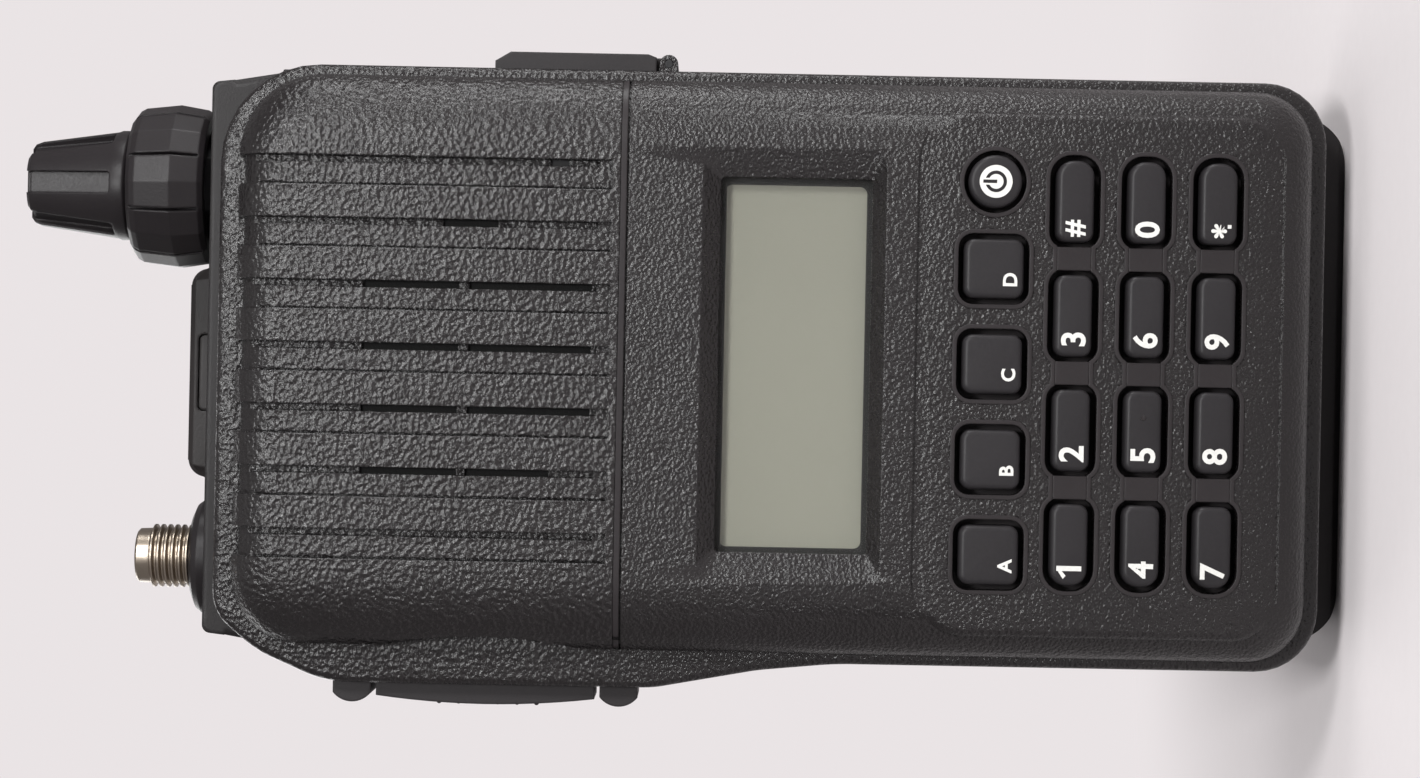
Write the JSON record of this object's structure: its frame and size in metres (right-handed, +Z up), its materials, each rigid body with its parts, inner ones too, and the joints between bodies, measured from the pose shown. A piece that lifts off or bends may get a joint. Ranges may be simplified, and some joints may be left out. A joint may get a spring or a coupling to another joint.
{
  "type": "handheld radio transceiver",
  "caption": "Handheld two-way radio: ribbed speaker grille, display, keypad, side talk bar, stacked top knobs, threaded antenna socket, battery pack and belt clip.",
  "frame": {"origin": "on the flat foot of the battery pack, on which the radio stands, midway across the pack and midway through its depth above the foot", "axes": "+Z up the body towards the antenna socket and knobs, -Y out of the face with the display and keys, +X to the right of a person looking at the face"},
  "size_m": [0.0634, 0.0369, 0.1311],
  "materials": {
    "case_plastic": "fine-grained black",
    "chassis_metal": "satin dark grey paint on a casting",
    "seal_rubber": "matt black",
    "lens_plastic": "clear and polished",
    "lcd_glass": "grey-green, satin",
    "holder_plastic": "matt black",
    "board_laminate": "green, satin",
    "key_plastic": "smooth black",
    "side_key_rubber": "matt black",
    "knob_plastic": "satin black",
    "steel": "bright",
    "connector_metal": "nickel plated, satin",
    "insulator_plastic": "white",
    "contact_gold": "gold plated",
    "speaker_metal": "dull grey",
    "mesh_cloth": "fine black weave",
    "capsule_metal": "satin",
    "cell_metal": "steel cans in a blue sleeve",
    "clip_plastic": "satin black"
  },
  "bodies": {
    "radio": {"front_case": "case_plastic", "battery_case": "case_plastic", "battery_cover": "case_plastic", "antenna_boss": "case_plastic", "rear_chassis": "chassis_metal", "main_seal": "seal_rubber", "keypad_mat": "seal_rubber", "display_lens": "lens_plastic", "lcd_panel": "lcd_glass", "lcd_holder": "holder_plastic", "side_key_frame": "holder_plastic", "accessory_jacks": "holder_plastic", "terminal_block": "holder_plastic", "encoder": "holder_plastic", "logic_board": "board_laminate", "main_board": "board_laminate", "encoder_nut": "steel", "jack_pin": "steel", "latch_spring": "steel", "clip_pin": "steel", "clip_spring": "steel", "case_screws": "steel", "clip_screws": "steel", "clip_plate": "steel", "shield_can": "steel", "antenna_connector": "connector_metal", "antenna_insulator": "insulator_plastic", "antenna_contact": "contact_gold", "battery_contacts": "contact_gold", "speaker": "speaker_metal", "speaker_mesh": "mesh_cloth", "microphone": "capsule_metal", "battery_cells": "cell_metal"},
    "key_1": {"key_1": "key_plastic"},
    "key_2": {"key_2": "key_plastic"},
    "key_3": {"key_3": "key_plastic"},
    "key_hash": {"key_hash": "key_plastic"},
    "key_4": {"key_4": "key_plastic"},
    "key_5": {"key_5": "key_plastic"},
    "key_6": {"key_6": "key_plastic"},
    "key_0": {"key_0": "key_plastic"},
    "key_7": {"key_7": "key_plastic"},
    "key_8": {"key_8": "key_plastic"},
    "key_9": {"key_9": "key_plastic"},
    "key_star": {"key_star": "key_plastic"},
    "key_a": {"key_a": "key_plastic"},
    "key_b": {"key_b": "key_plastic"},
    "key_c": {"key_c": "key_plastic"},
    "key_d": {"key_d": "key_plastic"},
    "power_key": {"power_key": "key_plastic"},
    "talk_bar": {"talk_bar": "side_key_rubber"},
    "upper_side_key": {"upper_side_key": "side_key_rubber"},
    "lower_side_key": {"lower_side_key": "side_key_rubber"},
    "dial": {"dial_knob": "knob_plastic", "dial_shaft": "steel"},
    "volume": {"volume_ring": "knob_plastic", "volume_shaft": "steel"},
    "jack_cover": {"jack_cover": "seal_rubber"},
    "latch": {"battery_latch": "clip_plastic"},
    "clip": {"clip_arm": "clip_plastic"}
  },
  "joints": [
    {"name": "key_1_press", "type": "slide", "parent": "radio", "child": "key_1", "axis": [0, 1, 0], "range_m": [0, 0.0006], "stiffness_N_per_m": 500, "springref_m": -0.001},
    {"name": "key_2_press", "type": "slide", "parent": "radio", "child": "key_2", "axis": [0, 1, 0], "range_m": [0, 0.0006], "stiffness_N_per_m": 500, "springref_m": -0.001},
    {"name": "key_3_press", "type": "slide", "parent": "radio", "child": "key_3", "axis": [0, 1, 0], "range_m": [0, 0.0006], "stiffness_N_per_m": 500, "springref_m": -0.001},
    {"name": "key_hash_press", "type": "slide", "parent": "radio", "child": "key_hash", "axis": [0, 1, 0], "range_m": [0, 0.0006], "stiffness_N_per_m": 500, "springref_m": -0.001},
    {"name": "key_4_press", "type": "slide", "parent": "radio", "child": "key_4", "axis": [0, 1, 0], "range_m": [0, 0.0006], "stiffness_N_per_m": 500, "springref_m": -0.001},
    {"name": "key_5_press", "type": "slide", "parent": "radio", "child": "key_5", "axis": [0, 1, 0], "range_m": [0, 0.0006], "stiffness_N_per_m": 500, "springref_m": -0.001},
    {"name": "key_6_press", "type": "slide", "parent": "radio", "child": "key_6", "axis": [0, 1, 0], "range_m": [0, 0.0006], "stiffness_N_per_m": 500, "springref_m": -0.001},
    {"name": "key_0_press", "type": "slide", "parent": "radio", "child": "key_0", "axis": [0, 1, 0], "range_m": [0, 0.0006], "stiffness_N_per_m": 500, "springref_m": -0.001},
    {"name": "key_7_press", "type": "slide", "parent": "radio", "child": "key_7", "axis": [0, 1, 0], "range_m": [0, 0.0006], "stiffness_N_per_m": 500, "springref_m": -0.001},
    {"name": "key_8_press", "type": "slide", "parent": "radio", "child": "key_8", "axis": [0, 1, 0], "range_m": [0, 0.0006], "stiffness_N_per_m": 500, "springref_m": -0.001},
    {"name": "key_9_press", "type": "slide", "parent": "radio", "child": "key_9", "axis": [0, 1, 0], "range_m": [0, 0.0006], "stiffness_N_per_m": 500, "springref_m": -0.001},
    {"name": "key_star_press", "type": "slide", "parent": "radio", "child": "key_star", "axis": [0, 1, 0], "range_m": [0, 0.0006], "stiffness_N_per_m": 500, "springref_m": -0.001},
    {"name": "key_a_press", "type": "slide", "parent": "radio", "child": "key_a", "axis": [0, 1, 0], "range_m": [0, 0.0006], "stiffness_N_per_m": 500, "springref_m": -0.001},
    {"name": "key_b_press", "type": "slide", "parent": "radio", "child": "key_b", "axis": [0, 1, 0], "range_m": [0, 0.0006], "stiffness_N_per_m": 500, "springref_m": -0.001},
    {"name": "key_c_press", "type": "slide", "parent": "radio", "child": "key_c", "axis": [0, 1, 0], "range_m": [0, 0.0006], "stiffness_N_per_m": 500, "springref_m": -0.001},
    {"name": "key_d_press", "type": "slide", "parent": "radio", "child": "key_d", "axis": [0, 1, 0], "range_m": [0, 0.0006], "stiffness_N_per_m": 500, "springref_m": -0.001},
    {"name": "power_key_press", "type": "slide", "parent": "radio", "child": "power_key", "axis": [0, 1, 0], "range_m": [0, 0.0006], "stiffness_N_per_m": 500, "springref_m": -0.001},
    {"name": "talk_bar_press", "type": "slide", "parent": "radio", "child": "talk_bar", "axis": [1, 0, 0], "range_m": [0, 0.0008], "stiffness_N_per_m": 1000, "springref_m": -0.001},
    {"name": "upper_side_key_press", "type": "slide", "parent": "radio", "child": "upper_side_key", "axis": [1, 0, 0], "range_m": [0, 0.0006], "stiffness_N_per_m": 500, "springref_m": -0.001},
    {"name": "lower_side_key_press", "type": "slide", "parent": "radio", "child": "lower_side_key", "axis": [1, 0, 0], "range_m": [0, 0.0006], "stiffness_N_per_m": 500, "springref_m": -0.001},
    {"name": "dial_turn", "type": "hinge", "parent": "radio", "child": "dial", "pos_m": [0.0171, -0.0062, 0.1169], "axis": [0, 0, 1], "continuous": true},
    {"name": "volume_turn", "type": "hinge", "parent": "radio", "child": "volume", "pos_m": [0.0171, -0.0062, 0.1169], "axis": [0, 0, 1], "range_deg": [-140, 140]},
    {"name": "jack_cover_swing", "type": "hinge", "parent": "radio", "child": "jack_cover", "pos_m": [0.0292, -0.013, 0.0672], "axis": [0, 1, 0], "range_deg": [0, 110]},
    {"name": "clip_squeeze", "type": "hinge", "parent": "radio", "child": "clip", "pos_m": [-0.0015, 0.0094, 0.1], "axis": [1, 0, 0], "range_deg": [0, 14], "stiffness_Nm_per_rad": 0.5, "springref_deg": -20.05},
    {"name": "latch_slide", "type": "slide", "parent": "radio", "child": "latch", "axis": [0, 1, 0], "range_m": [0, 0.0018], "stiffness_N_per_m": 500, "springref_m": -0.002, "deforming": ["latch_spring"]}
  ]
}
